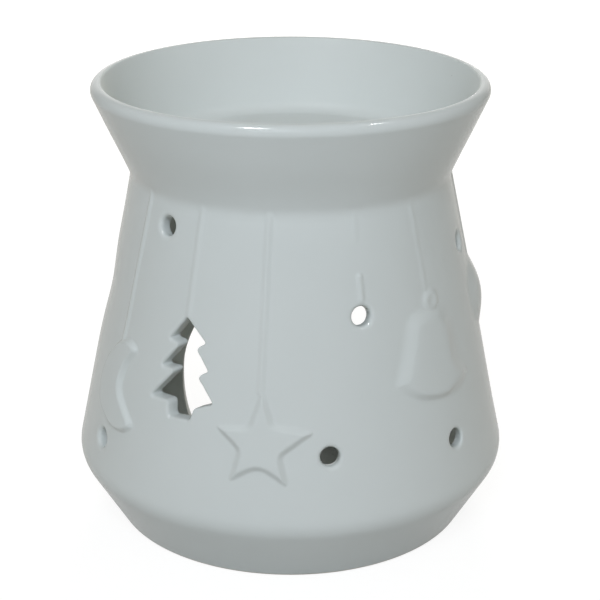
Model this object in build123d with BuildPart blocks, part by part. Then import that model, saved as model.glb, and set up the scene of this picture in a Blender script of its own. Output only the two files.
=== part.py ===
from build123d import *
import os
from math import atan2, cos, degrees, radians, sin, tan

# Essential oil burner: a slip-cast, glazed pot with its oil dish on top, and the tealight that heats it.
# Millimetres, +Z up, the front looks along -Y, the origin is the middle of the resting face.

# Turned outside of the pot, from the foot up
base_radius = 49.2
foot_height = 18.2
shoulder_radius = 60.0
side_height = 79.2
waist_radius = 43.0
collar_height = 24.5
rim_radius = 53.9
foot_edge = 1.0
shoulder_bevel = 1.9
waist_round = 11.7

# Wall, dish and chamber
wall = 3.6
floor_thickness = 4.0
dish_depth = 20.0
dish_corner = 3.2
lip_edge = 1.3
lip_inner_edge = 0.7

# Rear opening, an arch cut down to the chamber floor, through which the tealight goes in
opening_radius = 33.5
opening_centre_height = 17.0

# Round vent holes: turn from the front in degrees, and level as a share of the leaning wall's height
vent_hole_radius = 2.5
threaded_vent_share = 0.675
vent_turns = (-44.8, 73.9, 21.6, 10.4, -62.1, 50.3)
vent_level_shares = (0.92, 0.787, threaded_vent_share, 0.243, 0.142, 0.195)

# Relief: how far the figures stand out of the wall, and how far they are rooted in it
relief_rise = 1.0
relief_root = 1.6

# Cut-out fir tree: outline in shares of half its width and half its height
tree_width = 19.0
tree_height = 27.0
tree_turn = -32.0
tree_level_share = 0.483
tree_left_shares = (
    (-0.04, 1.00),
    (-0.54, 0.54),
    (-0.17, 0.48),
    (-0.74, -0.02),
    (-0.21, -0.02),
    (-1.00, -0.65),
    (-0.38, -0.65),
    (-0.32, -0.98),
)
tree_right_shares = (
    (0.32, -0.96),
    (0.37, -0.76),
    (0.95, -0.52),
    (0.42, -0.05),
    (0.73, 0.07),
    (0.32, 0.47),
    (0.58, 0.60),
)

# Raised star
star_radius = 13.4
star_notch_radius = 6.4
star_points = 5
star_tilt = -0.5
star_turn = -7.4
star_level_share = 0.288

# Raised crescent moon
moon_radius = 11.3
moon_hollow_radius = 10.5
moon_hollow_shift = 10.9
moon_tilt = 10.0
moon_turn = -54.5
moon_level_share = 0.353

# Raised bell with its loop: right half of the outline in shares of half its width and half its height
bell_width = 26.5
bell_height = 22.5
bell_tilt = -8.0
bell_turn = 46.0
bell_level_share = 0.492
bell_loop_radius = 2.7
bell_half_shares = (
    (0.35, 1.00),
    (0.60, 0.80),
    (0.73, 0.20),
    (0.80, -0.28),
    (1.00, -0.56),
    (0.62, -0.85),
    (0.25, -0.98),
)

# Raised round bauble
bauble_width = 19.0
bauble_rise = 2.4
bauble_turn = 86.0
bauble_level_share = 0.56

# Hanging threads: the turn of each at the waist and at its lower end
thread_radius = 0.6
thread_overlap = 1.5
moon_thread_turns = (-55.2, -58.7)
tree_thread_turns = (-30.4, -31.8)
star_thread_turns = (-7.0, -8.1)
vent_thread_turns = (21.1, 21.8)
bell_thread_turns = (44.2, 46.0)

# Tealight
cup_radius = 19.0
cup_height = 16.0
foil = 0.3
cup_floor_gap = 0.1
wax_height = 13.0
wax_gap = 0.1
wick_radius = 1.0
wick_stand = 8.0
tab_radius = 6.5
tab_thickness = 0.3
neck_radius = 1.6
neck_height = 5.0
fit_gap = 0.05
tealight_back = 5.0

# Overrun of the cutting solids past the faces they cut
overrun = 2.0

# Heights of the shoulder, the waist and the rim above the resting face
shoulder_height = foot_height
waist_height = shoulder_height + side_height
rim_height = waist_height + collar_height

# Lean of the wall, of the collar and of the foot, and the wall's thickness measured level
side_lean = degrees(atan2(shoulder_radius - waist_radius, side_height))
collar_lean = degrees(atan2(rim_radius - waist_radius, collar_height))
base_lean = degrees(atan2(shoulder_radius - base_radius, shoulder_height))
side_wall = wall / cos(radians(side_lean))
collar_wall = wall / cos(radians(collar_lean))
base_wall = wall / cos(radians(base_lean))
dish_floor_height = rim_height - dish_depth
roof_height = dish_floor_height - wall


def height_at(share):
    # height on the leaning wall, from the shoulder up to the waist
    return shoulder_height + share * side_height


def side_radius(height):
    # outside radius of the leaning wall
    return shoulder_radius - (height - shoulder_height) * tan(radians(side_lean))


def collar_radius(height):
    # outside radius of the flared collar
    return waist_radius + (height - waist_height) * tan(radians(collar_lean))


def foot_radius(height):
    # outside radius of the tapered foot
    return base_radius + height * tan(radians(base_lean))


def wall_point(turn, height):
    # point on the outside of the leaning wall
    radius = side_radius(height)
    return Vector(radius * sin(radians(turn)), -radius * cos(radians(turn)), height)


def wall_plane(turn, height):
    # plane on the outside of the wall: x level to the right, y up the wall, z straight out
    level = cos(radians(side_lean))
    across = (cos(radians(turn)), sin(radians(turn)), 0)
    out = (level * sin(radians(turn)), -level * cos(radians(turn)), sin(radians(side_lean)))
    return Plane(origin=wall_point(turn, height), x_dir=across, z_dir=out)


def wall_section(rise):
    # half section of the cone that lies that far out from the leaning wall
    return Polygon(
        (0, shoulder_height),
        (shoulder_radius + rise, shoulder_height),
        (waist_radius + rise, waist_height),
        (0, waist_height),
        align=None,
    )


def outline(shares, width, height):
    # points of a figure from its shares of half the width and half the height
    return [(x * width / 2, y * height / 2) for x, y in shares]


# Outline of the fir tree
tree_outline = outline(tree_left_shares + tree_right_shares, tree_width, tree_height)

# Outline of the bell, mirrored about its middle
bell_right = outline(bell_half_shares, bell_width, bell_height)
bell_outline = bell_right + [(-x, y) for x, y in reversed(bell_right)]

# Outline of the star, tip and notch by turns
star_outline = []
for index in range(2 * star_points):
    reach = star_notch_radius if index % 2 else star_radius
    angle = radians(90 + star_tilt + index * 180 / star_points)
    star_outline.append((reach * cos(angle), reach * sin(angle)))

# Levels of the figures on the leaning wall
star_level = height_at(star_level_share)
moon_level = height_at(moon_level_share)
bell_level = height_at(bell_level_share)
bauble_level = height_at(bauble_level_share)
tree_level = height_at(tree_level_share)
vent_levels = [height_at(share) for share in vent_level_shares]

# Each thread's turns and its lower end: within its figure, or just above its hole
bell_loop_rise = (bell_height + bell_loop_radius) / 2
threads = (
    (*moon_thread_turns, moon_level + moon_radius - thread_overlap),
    (*star_thread_turns, star_level + star_radius - thread_overlap),
    (*bell_thread_turns, bell_level + bell_loop_rise + bell_loop_radius - thread_overlap),
    (bauble_turn, bauble_turn, bauble_level + bauble_width / 2 - thread_overlap),
    (*tree_thread_turns, tree_level + tree_height / 2 + thread_radius),
    (*vent_thread_turns, height_at(threaded_vent_share) + vent_hole_radius + thread_radius),
)

# Relief: figures pushed out of the wall and trimmed level with it, bauble and threads
figure_reach = wall + relief_rise + overrun
bauble_sphere = ((bauble_width / 2) ** 2 + bauble_rise**2) / (2 * bauble_rise)
with BuildPart() as relief:
    with BuildSketch(wall_plane(star_turn, star_level).offset(-wall)):
        Polygon(*star_outline, align=None)
    extrude(amount=figure_reach)
    with BuildSketch(wall_plane(moon_turn, moon_level).offset(-wall)):
        Circle(moon_radius)
        with Locations(Location((0, 0), moon_tilt)):
            with Locations((moon_hollow_shift, 0)):
                Circle(moon_hollow_radius, mode=Mode.SUBTRACT)
    extrude(amount=figure_reach)
    with BuildSketch(wall_plane(bell_turn, bell_level).offset(-wall)):
        with Locations(Location((0, 0), bell_tilt)):
            Polygon(*bell_outline, align=None)
        with Locations((0, bell_loop_rise)):
            Circle(bell_loop_radius)
    extrude(amount=figure_reach)
    with BuildSketch(Plane.YZ):
        wall_section(relief_rise)
    revolve(axis=Axis.Z, mode=Mode.INTERSECT)
    with Locations(wall_plane(bauble_turn, bauble_level).offset(bauble_rise - bauble_sphere).origin):
        Sphere(bauble_sphere)
    with BuildSketch(Plane.YZ):
        wall_section(-relief_root)
    revolve(axis=Axis.Z, mode=Mode.SUBTRACT)
    for top_turn, end_turn, end_level in threads:
        top = wall_point(top_turn, waist_height)
        end = wall_point(end_turn, end_level)
        with BuildSketch(Plane(origin=end, z_dir=top - end)):
            Circle(thread_radius)
        extrude(amount=(top - end).length)

# Inner corner of the shoulder, where the offset lines of the wall and the foot meet
inner_shoulder_rise = (base_wall - side_wall) / (tan(radians(base_lean)) + tan(radians(side_lean)))
inner_shoulder_height = shoulder_height + inner_shoulder_rise
inner_shoulder_radius = side_radius(inner_shoulder_height) - side_wall

# Inside of the dish: its radius at the rim, just below the lip, above its corner and at its floor
rim_inside = rim_radius - collar_wall
lip_inside = collar_radius(rim_height - lip_edge) - collar_wall
corner_height = dish_floor_height + dish_corner
corner_inside = collar_radius(corner_height) - collar_wall
floor_inside = collar_radius(dish_floor_height) - collar_wall - dish_corner

# Bevel that softens the shoulder, as far down the foot as up the wall
bevel_low = shoulder_height - shoulder_bevel * cos(radians(base_lean))
bevel_high = shoulder_height + shoulder_bevel * cos(radians(side_lean))

# Pot: foot, leaning wall, flared collar and dish in one casting
with BuildPart() as burner_body:
    with BuildSketch(Plane.YZ):
        with BuildLine():
            FilletPolyline(
                (0, 0),
                (base_radius - foot_edge, 0),
                (foot_radius(foot_edge), foot_edge),
                (foot_radius(bevel_low), bevel_low),
                (side_radius(bevel_high), bevel_high),
                (waist_radius, waist_height),
                (collar_radius(rim_height - lip_edge), rim_height - lip_edge),
                (rim_radius - lip_edge, rim_height),
                (rim_inside + lip_inner_edge, rim_height),
                (lip_inside, rim_height - lip_edge),
                (corner_inside, corner_height),
                (floor_inside, dish_floor_height),
                (0, dish_floor_height),
                radius=(0, 0, 0, 0, waist_round, 0, 0, 0, 0, 0, 0),
            )
            Line((0, dish_floor_height), (0, 0))
        make_face()
    revolve(axis=Axis.Z)
    # chamber for the tealight, open below the dish
    with BuildSketch(Plane.YZ):
        with BuildLine():
            Polyline(
                (0, floor_thickness),
                (foot_radius(floor_thickness) - base_wall, floor_thickness),
                (inner_shoulder_radius, inner_shoulder_height),
                (side_radius(roof_height) - side_wall, roof_height),
                (0, roof_height),
                close=True,
            )
        make_face()
    revolve(axis=Axis.Z, mode=Mode.SUBTRACT)
    # rear arch
    with BuildSketch(Plane.XZ):
        with Locations((0, opening_centre_height)):
            Circle(opening_radius)
        with Locations((0, floor_thickness)):
            Rectangle(
                2 * shoulder_radius,
                rim_height,
                align=(Align.CENTER, Align.MIN),
                mode=Mode.INTERSECT,
            )
    extrude(amount=-(shoulder_radius + overrun), mode=Mode.SUBTRACT)
    # fir tree
    with BuildSketch(wall_plane(tree_turn, tree_level).offset(overrun)):
        Polygon(*tree_outline, align=None)
    extrude(amount=-(wall + 2 * overrun), mode=Mode.SUBTRACT)
    # vent holes, square to the wall
    for turn, level in zip(vent_turns, vent_levels):
        with BuildSketch(wall_plane(turn, level).offset(overrun)):
            Circle(vent_hole_radius)
        extrude(amount=-(wall + 2 * overrun), mode=Mode.SUBTRACT)
    add(relief.part)
burner_body.part.label = "burner_body"

# Tealight cup of pressed foil
tealight_plane = Plane(origin=(0, tealight_back, 0), x_dir=(1, 0, 0), z_dir=(0, -1, 0))
tealight_axis = Axis((0, tealight_back, 0), (0, 0, 1))
cup_base = floor_thickness + cup_floor_gap
cup_floor = cup_base + foil
cup_top = cup_base + cup_height
with BuildPart() as tealight_cup:
    with BuildSketch(tealight_plane):
        Polygon(
            (0, cup_base),
            (cup_radius, cup_base),
            (cup_radius, cup_top),
            (cup_radius - foil, cup_top),
            (cup_radius - foil, cup_floor),
            (0, cup_floor),
            align=None,
        )
    revolve(axis=tealight_axis)
tealight_cup.part.label = "tealight_cup"

# Steel tab with its neck, which stands the wick on the cup's floor
tab_base = cup_floor + fit_gap
tab_top = tab_base + tab_thickness
neck_bore = wick_radius + fit_gap
with BuildPart() as wick_tab:
    with BuildSketch(tealight_plane):
        with BuildLine():
            Polyline(
                (0, tab_base),
                (tab_radius, tab_base),
                (tab_radius, tab_top),
                (neck_radius, tab_top),
                (neck_radius, tab_base + neck_height),
                (neck_bore, tab_base + neck_height),
                (neck_bore, tab_top),
                (0, tab_top),
                close=True,
            )
        make_face()
    revolve(axis=tealight_axis)
wick_tab.part.label = "wick_tab"

# Wax, poured round the tab and the wick
wax_base = cup_floor + fit_gap
wax_top = cup_base + wax_height
wax_radius = cup_radius - foil - wax_gap
with BuildPart() as tealight_wax:
    with BuildSketch(tealight_plane):
        Polygon(
            (0, wax_base),
            (wax_radius, wax_base),
            (wax_radius, wax_top),
            (0, wax_top),
            align=None,
        )
    revolve(axis=tealight_axis)
    with BuildSketch(Plane(origin=(0, tealight_back, wax_base))):
        Circle(tab_radius + fit_gap)
    extrude(amount=tab_thickness + fit_gap, mode=Mode.SUBTRACT)
    with BuildSketch(Plane(origin=(0, tealight_back, wax_base))):
        Circle(neck_radius + fit_gap)
    extrude(amount=neck_height + fit_gap, mode=Mode.SUBTRACT)
    with BuildSketch(Plane(origin=(0, tealight_back, wax_base))):
        Circle(wick_radius + fit_gap)
    extrude(amount=wax_height, mode=Mode.SUBTRACT)
tealight_wax.part.label = "tealight_wax"

# Cotton wick
wick_base = tab_top + fit_gap
with BuildPart() as wick:
    with BuildSketch(Plane(origin=(0, tealight_back, wick_base))):
        Circle(wick_radius)
    extrude(amount=wax_top + wick_stand - wick_base)
wick.part.label = "wick"

os.makedirs("parts", exist_ok=True)
for piece in (burner_body, tealight_cup, tealight_wax, wick_tab, wick):
    export_step(piece.part, f"parts/{piece.part.label}.step")
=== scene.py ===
import math

import bmesh
import bpy
import numpy as np
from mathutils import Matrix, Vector
from mathutils.geometry import delaunay_2d_cdt


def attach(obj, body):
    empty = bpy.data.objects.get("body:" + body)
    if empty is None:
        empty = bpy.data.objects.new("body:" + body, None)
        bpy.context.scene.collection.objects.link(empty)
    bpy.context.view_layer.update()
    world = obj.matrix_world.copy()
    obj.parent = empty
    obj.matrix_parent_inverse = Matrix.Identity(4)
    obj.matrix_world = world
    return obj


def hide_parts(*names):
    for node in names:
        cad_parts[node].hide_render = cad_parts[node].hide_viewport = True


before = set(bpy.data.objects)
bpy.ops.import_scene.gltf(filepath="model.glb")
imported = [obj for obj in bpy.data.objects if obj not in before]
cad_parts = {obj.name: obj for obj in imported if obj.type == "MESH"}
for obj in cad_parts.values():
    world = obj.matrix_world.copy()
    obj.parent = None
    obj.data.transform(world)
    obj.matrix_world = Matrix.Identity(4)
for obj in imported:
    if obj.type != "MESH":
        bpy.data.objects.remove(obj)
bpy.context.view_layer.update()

mm = 0.001                   # sizes are in millimetres, unless a note says otherwise
tiny = 1e-6                  # places closer than this count as one
farOff = 99.0                # stands for any distance too long to matter
print("frame loaded")


# Small helpers shared by all pieces

def hexColour(code):
    # sRGB hex to the linear colour that the shader wants
    parts = [int(code[i:i + 2], 16) / 255 for i in (1, 3, 5)]
    return [c / 12.92 if c <= 0.04045 else ((c + 0.055) / 1.055) ** 2.4 for c in parts] + [1.0]


def addNode(tree, kind, settings=None, links=None):
    # one node, its properties or unlinked sockets set, its inputs linked
    node = tree.nodes.new(kind)
    for name, value in (settings or {}).items():
        if isinstance(name, str) and hasattr(node, name):
            setattr(node, name, value)
        else:
            node.inputs[name].default_value = value
    for name, source in (links or {}).items():
        tree.links.new(source, node.inputs[name])
    return node


def smoothRamp(low, high, values):
    t = np.clip((values - low) / (high - low), 0, 1)
    return t * t * (3 - 2 * t)


def unit(vectors):
    return vectors / np.linalg.norm(vectors, axis=1)[:, None]


def wayAlong(line):
    # how far along a line of points each of them lies
    return np.concatenate([[0], np.cumsum(np.hypot(*np.diff(line, axis=0).T))])


# Camera: stands a little above the dish, found from the outline in the photograph

cameraSettings = {
    "distance": 0.422, "height": 0.22235,       # metres
    "downTilt": 21.2,                           # degrees
    "lens": 97.6, "sensor": 36,
    "shift": 0.0157,                            # share of the picture's width
}

cameraData = bpy.data.cameras.new("camera")
cameraData.lens = cameraSettings["lens"]
cameraData.sensor_width = cameraSettings["sensor"]
cameraData.shift_x = cameraSettings["shift"]
camera = bpy.data.objects.new("camera", cameraData)
camera.location = (0, -cameraSettings["distance"], cameraSettings["height"])
camera.rotation_euler = (math.radians(90 - cameraSettings["downTilt"]), 0, 0)
bpy.context.collection.objects.link(camera)
bpy.context.scene.camera = camera
print("camera placed")


# Pot: one casting turned about Z, with its figures, threads, vents, tree and rear arch

potSettings = {
    # corners of the turned section, its walls, and how far each corner is rounded
    "baseRadius": 49.2, "shoulderRadius": 60.0, "shoulderHeight": 18.2,
    "waistRadius": 43.0, "waistHeight": 97.4, "rimRadius": 53.9, "rimHeight": 121.9,
    "wall": 3.6, "floorThickness": 4.0, "dishDepth": 20.0,
    "footRound": 1.3, "shoulderRound": 7.3, "waistRound": 4.8, "rimRound": 2.1, "lipRound": 0.85,
    "dishRound": 5.0, "innerFootRound": 2.5, "innerShoulderRound": 5.0, "roofRound": 4.0,
    # how far the glaze rounds the mouths of the openings, outside and in the chamber
    "ventReach": 1.45, "treeReach": 0.95, "archReach": 1.2, "mouthSteps": 7,
    "innerReach": 0.7, "innerSteps": 3,
    # the clay isn't quite true: turn, height, how far round and up, millimetres in or out
    "dents": [(-88, 66, 26, 9.5, -0.75), (-88, 86, 30, 9, -0.2), (88, 32, 28, 15, -0.2),
              (-60, 44, 14, 9, 0.15), (-5, 102.5, 62, 6.0, -0.5)],
    "frontLift": 0.75,       # the rim stands a little higher in front
    "weld": 0.01,            # points of the wrapped sheets closer than this are joined
}

pot = potSettings
sideSlope = (pot["shoulderRadius"] - pot["waistRadius"]) / (pot["waistHeight"] - pot["shoulderHeight"])
collarSlope = (pot["rimRadius"] - pot["waistRadius"]) / (pot["rimHeight"] - pot["waistHeight"])
footSlope = (pot["shoulderRadius"] - pot["baseRadius"]) / pot["shoulderHeight"]
sideWall = pot["wall"] * math.hypot(1, sideSlope)
collarWall = pot["wall"] * math.hypot(1, collarSlope)
footWall = pot["wall"] * math.hypot(1, footSlope)
dishFloor = pot["rimHeight"] - pot["dishDepth"]
roof = dishFloor - pot["wall"]
dishInside = pot["waistRadius"] + (dishFloor - pot["waistHeight"]) * collarSlope - collarWall
innerShoulder = pot["shoulderHeight"] + (footWall - sideWall) / (footSlope + sideSlope)
# the outside, level with the chamber's floor
floorOutside = pot["baseRadius"] + pot["floorThickness"] * footSlope


def sideRadius(height):
    return pot["shoulderRadius"] - (height - pot["shoulderHeight"]) * sideSlope


# corners of the two turned sections: name, radius, height, rounding
outsideCorners = [
    ("Base Centre", 0, 0, 0),
    ("Foot", pot["baseRadius"], 0, pot["footRound"]),
    ("Shoulder", pot["shoulderRadius"], pot["shoulderHeight"], pot["shoulderRound"]),
    ("Waist", pot["waistRadius"], pot["waistHeight"], pot["waistRound"]),
    ("Rim", pot["rimRadius"], pot["rimHeight"], pot["rimRound"]),
    ("Lip", pot["rimRadius"] - collarWall, pot["rimHeight"], pot["lipRound"]),
    ("Dish Corner", dishInside, dishFloor, pot["dishRound"]),
    ("Dish Centre", 0, dishFloor, 0),
]
insideCorners = [
    ("Floor Centre", 0, pot["floorThickness"], 0),
    ("Floor Edge", floorOutside - footWall, pot["floorThickness"], pot["innerFootRound"]),
    ("Inner Shoulder", sideRadius(innerShoulder) - sideWall, innerShoulder, pot["innerShoulderRound"]),
    ("Roof Edge", sideRadius(roof) - sideWall, roof, pot["roofRound"]),
    ("Roof Centre", 0, roof, 0),
]
arcSteps = 10                # to each rounded corner


def sectionLine(corners):
    # the turned section as a line of points, each corner traded for its arc, and the way along it
    points, marks = [], {}
    for i, (name, radius, height, rounding) in enumerate(corners):
        corner = Vector((radius, height))
        first = len(points)
        if rounding == 0:
            points.append(corner)
        else:
            back = (Vector(corners[i - 1][1:3]) - corner).normalized()
            ahead = (Vector(corners[i + 1][1:3]) - corner).normalized()
            half = back.angle(ahead) / 2
            centre = corner + (back + ahead).normalized() * rounding / math.sin(half)
            start = corner + back * rounding / math.tan(half) - centre
            end = corner + ahead * rounding / math.tan(half) - centre
            turned = start.angle_signed(end)
            for step in range(arcSteps + 1):
                angle = -turned * step / arcSteps
                points.append(centre + Vector((
                    start.x * math.cos(angle) - start.y * math.sin(angle),
                    start.x * math.sin(angle) + start.y * math.cos(angle))))
        marks[name] = (first, len(points) - 1)
    line = np.array([tuple(p) for p in points])
    along = wayAlong(line)
    return {"line": line, "along": along, "marks": {k: (along[a], along[b]) for k, (a, b) in marks.items()}}


def wallLine(section, first, last):
    # the stretch between two corners, their arcs included, that carries the openings
    low, high = section["marks"][first][0] - tiny, section["marks"][last][1] + tiny
    return section["line"][(section["along"] >= low) & (section["along"] <= high)]


outside = sectionLine(outsideCorners)
inside = sectionLine(insideCorners)
outside["wall"] = wallLine(outside, "Foot", "Waist")
inside["wall"] = wallLine(inside, "Floor Edge", "Roof Edge")
# air lies on the right of the outside section and on the left of the chamber's
outside["flip"], inside["flip"] = 1, -1

seamTurn = -120.0            # degrees: the sheets are cut open here, clear of every opening
sheetRadius = 52.0           # on a flat sheet a degree of turn is as wide as at this radius
turnWidth = math.radians(1) * sheetRadius


def toSheet(points, section):
    # turn, way along the section and rise of points that lie near a turned surface
    points = np.asarray(points, float)
    turn = np.degrees(np.arctan2(points[:, 0], -points[:, 1]))
    turn = np.where(turn < seamTurn, turn + 360, turn)
    flatPoint = np.stack([np.hypot(points[:, 0], points[:, 1]), points[:, 2]], 1)
    start, step = section["line"][:-1], np.diff(section["line"], axis=0)
    length = np.hypot(*step.T)
    share = ((flatPoint[:, None] - start) * step).sum(2) / length ** 2
    share = np.clip(share, 0, 1)
    gap = flatPoint[:, None] - (start + share[..., None] * step)
    nearest = np.hypot(gap[..., 0], gap[..., 1]).argmin(1)
    rows = np.arange(len(points))
    along = section["along"][nearest] + share[rows, nearest] * length[nearest]
    ahead = step[nearest] / length[nearest][:, None]
    rise = (gap[rows, nearest] * np.stack([ahead[:, 1], -ahead[:, 0]], 1)).sum(1) * section["flip"]
    return np.stack([turn, along, rise], 1)


def fromSheet(turn, along, section):
    # the point on the bare turned surface
    radius = np.interp(along, section["along"], section["line"][:, 0])
    height = np.interp(along, section["along"], section["line"][:, 1])
    angle = np.radians(turn)
    return np.stack([radius * np.sin(angle), -radius * np.cos(angle), height], -1)


def wallFrame(turn, height):
    # plane on the leaning wall: origin, across, up the wall, out
    lean = math.atan(sideSlope)
    angle = math.radians(turn)
    radius = sideRadius(height)
    origin = np.array([radius * math.sin(angle), -radius * math.cos(angle), height])
    across = np.array([math.cos(angle), math.sin(angle), 0])
    out = np.array([math.cos(lean) * math.sin(angle), -math.cos(lean) * math.cos(angle), math.sin(lean)])
    return origin, across, np.cross(out, across), out


def softOutline(corners, rounding, spacing=0.5):
    # closed outline as evenly spaced points, every corner rounded; a corner may bring its own rounding
    points, steps = [], 8
    longest = 0.48           # share of a side that a rounding may take
    count = len(corners)
    for i in range(count):
        corner, before, after = (Vector(corners[(i + k) % count][:2]) for k in (0, -1, 1))
        wanted = corners[i][2] if len(corners[i]) > 2 else rounding
        back, ahead = before - corner, after - corner
        half = back.angle(ahead) / 2
        reach = min(wanted / math.tan(half), longest * back.length, longest * ahead.length)
        start, end = corner + back.normalized() * reach, corner + ahead.normalized() * reach
        for step in range(steps + 1):
            t = step / steps
            points.append((1 - t) ** 2 * start + 2 * t * (1 - t) * corner + t * t * end)
    closed = np.array([tuple(p) for p in points + points[:1]])
    along = wayAlong(closed)
    number = int(along[-1] / spacing)
    at = np.arange(number) * along[-1] / number
    return np.stack([np.interp(at, along, closed[:, 0]), np.interp(at, along, closed[:, 1])], 1)


def outlineDistance(points, outline):
    # distance to a closed outline, positive within it; points far off are only marked as far
    room = 12
    near = np.abs(points - outline.mean(0)).max(1) < np.abs(outline - outline.mean(0)).max() + room
    if not near.all():
        result = np.full(len(points), -farOff)
        result[near] = outlineDistance(points[near], outline) if near.any() else 0
        return result
    start, end = outline, np.roll(outline, -1, 0)
    step = end - start
    share = ((points[:, None] - start) * step).sum(2) / np.maximum((step ** 2).sum(1), tiny ** 2)
    gap = points[:, None] - (start + np.clip(share, 0, 1)[..., None] * step)
    distance = np.sqrt((gap ** 2).sum(2).min(1))
    across = (start[:, 1] > points[:, 1:2]) != (end[:, 1] > points[:, 1:2])
    slope = np.where(step[:, 1] == 0, tiny ** 2, step[:, 1])
    crossing = points[:, :1] < start[:, 0] + step[:, 0] * (points[:, 1:2] - start[:, 1]) / slope
    within = (across & crossing).sum(1) % 2 == 1
    return np.where(within, distance, -distance)


# Figures in the clay: place on the wall, then millimetres across and up the wall

# a figure starts to rise this far outside its outline; the bell counts in widths of its slope
slopeStart = -0.3

starSettings = {
    "turn": -7.8, "height": 40.7, "rise": 1.15, "slope": 1.7, "rounding": 1.9,
    "corners": [(0.1, 15.6, 1.0), (3.2, 5.7), (13.8, 3.9, 0.9), (5.4, -2.8), (7.5, -11.2, 1.0),
                (-0.5, -5.9, 5.0), (-8.3, -10.4, 0.9), (-6.1, -1.6), (-12.4, 4.4, 1.0), (-3.4, 5.0)],
}
moonSettings = {
    "turn": -59.0, "height": 46.5, "rise": 1.3, "slope": 1.3, "rounding": 60.0,
    "corners": [(-0.6, 11.6), (4.4, 13.4), (8.6, 11.6), (4.4, 5.8), (3.2, -0.8), (8.0, -5.4),
                (11.6, -8.6), (8.4, -11.6), (2.4, -12.6), (-6.6, -8.4), (-8.2, -0.6), (-5.4, 6.8)],
}
bellSettings = {
    "turn": 46.0, "height": 58.0, "rise": 1.3, "rounding": 60.0,
    "corners": [(-7.4, 11.2), (-1.6, 12.4), (5.4, 11.0), (9.2, 5.8), (8.8, -2.6), (13.6, -8.8, 1.0),
                (9.2, -12.2), (0.6, -12.7), (-8.0, -10.4), (-14.0, -5.4, 1.2), (-10.6, 1.6)],
    # the slope is steeper at the lip, and softer on the right
    "slope": 4.0, "lipSlope": 1.8, "lipBand": (-10.5, -3), "rightSlope": 2.4, "rightBand": (1, 9),
    "loopCentre": (1.4, 13.6), "loopRadius": 3.0, "loopRise": 0.5, "loopSlope": (-0.8, 1.3),
    "hollow": 0.3, "hollowSlope": (1.3, 2.9),    # the middle of the loop
}
baubleSettings = {"turn": 86.0, "height": 64.0, "radius": 10.8, "rise": 2.2, "taper": 1.5}
threadSettings = {
    "width": 1.25, "crest": 0.1, "rise": 0.48,
    "topHeight": 99.0, "fade": 3,                # they fade out across the waist
    # turn and height of the upper end, turn and height of the lower end, strength
    "runs": [(-55.2, 99, -58.7, 57.5, 0.7), (-30.4, 99, -31.8, 70.8, 0.5), (-7.0, 99, -8.2, 54.0, 0.85),
             (21.1, 99, 21.2, 91, 0.2), (21.6, 81.5, 21.8, 76.0, 0.75), (44.2, 99, 46.2, 73.5, 0.2),
             (86.0, 99, 86.0, 73.0, 0.6)],
}
ventSettings = {
    "radius": 2.5, "points": 40,
    # turn, height, and how far the punch was turned towards the front
    "places": [(-44.8, 91.0, 0), (73.9, 80.6, 0), (21.6, 71.7, 0), (10.4, 37.5, 0), (-62.1, 29.5, 0),
               (50.3, 33.7, 28)],
}
treeSettings = {
    "turn": -32.0, "height": 56.5, "notch": 1.35, "spacing": 0.45,
    "knifeTurn": -46.0,      # the knife went in level, from a little further round
    "corners": [(-0.4, 13.7, 0.6), (-5.3, 7.3, 0.6), (-1.6, 6.5), (-7.3, -0.3, 0.6), (-2.0, -0.2),
                (-9.8, -8.8, 0.6), (-3.6, -8.8), (-3.1, -12.9, 1.0), (3.2, -12.4, 1.0), (4.2, -9.2),
                (9.3, -7.0, 0.6), (4.3, -0.7), (7.1, 1.0, 0.6), (3.1, 6.3), (5.7, 8.1, 0.6)],
}
archSettings = {"radius": 33.5, "centreHeight": 17.0, "topPoints": 120, "sillPoints": 56}

bell, bauble, thread, arch = bellSettings, baubleSettings, threadSettings, archSettings
outlinedFigures = (starSettings, moonSettings, bellSettings)
for figure in outlinedFigures:
    figure["outline"] = softOutline(figure["corners"], figure["rounding"])


def localPoints(points, figure):
    # points of the pot as seen square on to a figure; those on other sides of the pot are pushed out of reach
    depth = 16
    origin, across, up, out = wallFrame(figure["turn"], figure["height"])
    offset = points - origin
    flatPoint = np.stack([offset @ across, offset @ up], 1)
    return np.where((np.abs(offset @ out) < depth)[:, None], flatPoint, farOff)


def figureDepth(points, figure):
    # how far within a figure's outline
    return outlineDistance(localPoints(points, figure), figure["outline"])


def loopDepth(points):
    return bell["loopRadius"] - np.hypot(*(localPoints(points, bell) - bell["loopCentre"]).T)


def baubleShare(points):
    return np.hypot(*localPoints(points, bauble).T) / bauble["radius"]


def threadGap(points, run):
    # distance from a thread's line, and past its ends
    topTurn, top, endTurn, endHeight = run[:4]
    share = (points[:, 2] - endHeight) / (top - endHeight)
    turn = np.radians(endTurn + (topTurn - endTurn) * np.clip(share, 0, 1))
    sideways = points[:, 0] * np.cos(turn) + points[:, 1] * np.sin(turn)
    front = points[:, 0] * np.sin(turn) - points[:, 1] * np.cos(turn) > 0
    beyond = np.maximum(endHeight - points[:, 2], points[:, 2] - top)
    gap = np.hypot(sideways, np.maximum(beyond, 0))
    return np.where(front, gap, farOff)


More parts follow.
